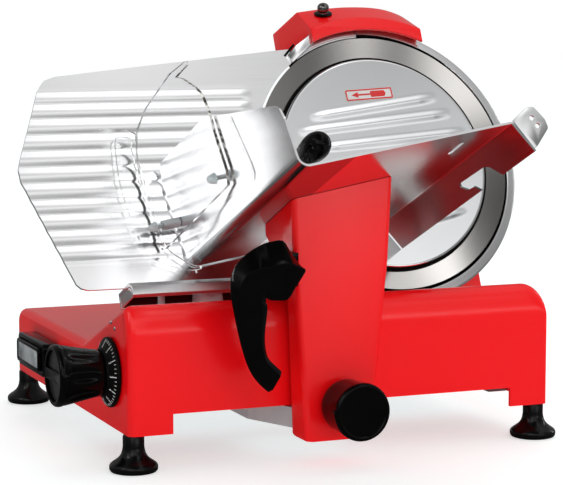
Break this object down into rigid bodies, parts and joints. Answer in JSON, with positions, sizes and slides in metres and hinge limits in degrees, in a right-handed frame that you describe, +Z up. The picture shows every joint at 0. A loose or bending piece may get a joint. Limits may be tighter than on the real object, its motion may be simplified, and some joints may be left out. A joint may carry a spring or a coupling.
{
  "type": "electric meat slicer",
  "caption": "Belt-driven gravity-feed meat slicer: red base and arm, inclined round blade with ring guard, ribbed gauge plate, folded food tray, clear hand guard, index dial and sharpener.",
  "frame": {"origin": "centre of the whole machine's box in plan, on the surface the four feet stand on", "axes": "+X along the base's long side and the tray's travel, to the operator's right; +Y away from the operator, the way the gauge plate opens; +Z up"},
  "size_m": [0.4977, 0.4682, 0.3844],
  "materials": {
    "red_enamel": "gloss enamel",
    "aluminium": "brushed and anodised",
    "polished": "polished",
    "blade_steel": "ground and polished",
    "steel": "turned steel",
    "black_gloss": "moulded",
    "black_matte": "moulded",
    "rubber": "moulded rubber",
    "clear": "clear polycarbonate",
    "white_plastic": "moulded",
    "stone": "bonded abrasive",
    "copper": "lacquered windings on a steel core"
  },
  "bodies": {
    "frame": {"base_housing": "red_enamel", "bottom_plate": "steel", "bottom_screws": "steel", "foot_front_left": "rubber", "foot_front_right": "rubber", "foot_rear_left": "rubber", "foot_rear_right": "rubber", "foot_studs": "steel", "spindle_bearings": "steel", "ring_guard": "aluminium", "blade_support": "red_enamel", "slice_deflector": "aluminium", "blade_cover": "aluminium", "cover_tie_rod": "steel", "belt_cover": "red_enamel", "drive_belt": "rubber", "motor_stator": "copper", "motor_cover": "red_enamel", "gauge_guide_rod": "steel", "gauge_rod_brackets": "steel", "switch_housing": "black_gloss", "switch_boot": "clear", "cord_gland": "black_matte", "capacitor": "black_matte", "guide_rod": "steel", "rod_brackets": "steel", "sharpener_base": "aluminium"},
    "cover_knob": {"cover_knob": "black_gloss"},
    "blade_unit": {"blade": "blade_steel", "blade_screws": "steel", "blade_spindle": "steel", "driven_pulley": "aluminium"},
    "motor_unit": {"motor_rotor": "steel", "drive_pulley": "steel", "motor_fan": "black_matte"},
    "gauge": {"gauge_plate": "aluminium", "gauge_carrier": "aluminium", "gauge_column": "polished", "gauge_slider": "steel"},
    "index": {"index_dial": "black_gloss", "index_knob": "black_gloss", "index_spindle": "steel", "index_cam": "steel"},
    "rocker": {"switch_rocker": "white_plastic"},
    "carriage": {"carriage_block": "steel", "carriage_bushes": "copper", "carriage_arm": "red_enamel", "food_tray": "polished", "hand_guard": "clear", "guard_screws": "steel", "carriage_handle": "black_gloss", "pusher_bracket": "aluminium"},
    "lock": {"lock_knob": "black_gloss"},
    "pusher": {"pusher_rod": "steel", "pusher_knob": "black_gloss"},
    "pusher_foot": {"pusher_plate": "aluminium"},
    "sharpener": {"sharpener_cover": "red_enamel"},
    "grinding_wheel": {"grinding_stone": "stone"},
    "deburring_wheel": {"deburring_stone": "stone"},
    "sharpener_lock": {"sharpener_knob": "polished"}
  },
  "joints": [
    {"name": "blade_spin", "type": "hinge", "parent": "frame", "child": "blade_unit", "pos_m": [0.1144, 0.0378, 0.2364], "axis": [0, -0.9124, 0.4093], "continuous": true},
    {"name": "motor_spin", "type": "hinge", "parent": "frame", "child": "motor_unit", "pos_m": [0.1784, 0.02961, 0.21815], "axis": [0, -0.9124, 0.4093], "continuous": true},
    {"name": "cover_knob_turn", "type": "hinge", "parent": "frame", "child": "cover_knob", "pos_m": [0.1144, 0.11992, 0.19956], "axis": [0, -0.9124, 0.4093], "continuous": true},
    {"name": "index_turn", "type": "hinge", "parent": "frame", "child": "index", "pos_m": [-0.2, -0.0875, 0.078], "axis": [1, 0, 0], "range_deg": [0, 330]},
    {"name": "gauge_slide", "type": "slide", "parent": "frame", "child": "gauge", "axis": [0, 1, 0], "range_m": [0, 0.0132]},
    {"name": "switch_rock", "type": "hinge", "parent": "frame", "child": "rocker", "pos_m": [-0.2, 0.114, 0.062], "axis": [0, 0, 1], "range_deg": [0, 6]},
    {"name": "carriage_slide", "type": "slide", "parent": "frame", "child": "carriage", "axis": [1, 0, 0], "range_m": [-0.1, 0.148]},
    {"name": "lock_turn", "type": "hinge", "parent": "carriage", "child": "lock", "pos_m": [-0.018, -0.171, 0.0525], "axis": [0, -1, 0], "range_deg": [0, 360]},
    {"name": "pusher_slide", "type": "slide", "parent": "carriage", "child": "pusher", "axis": [0, -0.9124, 0.4093], "range_m": [0, 0.085]},
    {"name": "pusher_swing", "type": "hinge", "parent": "pusher", "child": "pusher_foot", "pos_m": [-0.05063, -0.01278, 0.19206], "axis": [0, -0.9124, 0.4093], "range_deg": [0, 95]},
    {"name": "sharpener_lift", "type": "slide", "parent": "frame", "child": "sharpener", "axis": [0, 0.4093, 0.9124], "range_m": [0, 0.02]},
    {"name": "grinding_spin", "type": "hinge", "parent": "sharpener", "child": "grinding_wheel", "pos_m": [0.0874, 0.13971, 0.34632], "axis": [0, 0.4093, 0.9124], "continuous": true},
    {"name": "deburring_spin", "type": "hinge", "parent": "sharpener", "child": "deburring_wheel", "pos_m": [0.1434, 0.13606, 0.34795], "axis": [0, 0.4093, 0.9124], "continuous": true},
    {"name": "sharpener_knob_turn", "type": "hinge", "parent": "sharpener", "child": "sharpener_lock", "pos_m": [0.0823, 0.11038, 0.37279], "axis": [-0.1179, -0.3135, 0.9422], "continuous": true}
  ],
  "couplings": [
    {"joint": "index_turn", "follows": "gauge_slide", "rad_per_m": 436.33},
    {"joint": "motor_spin", "follows": "blade_spin", "ratio": 4.09}
  ]
}
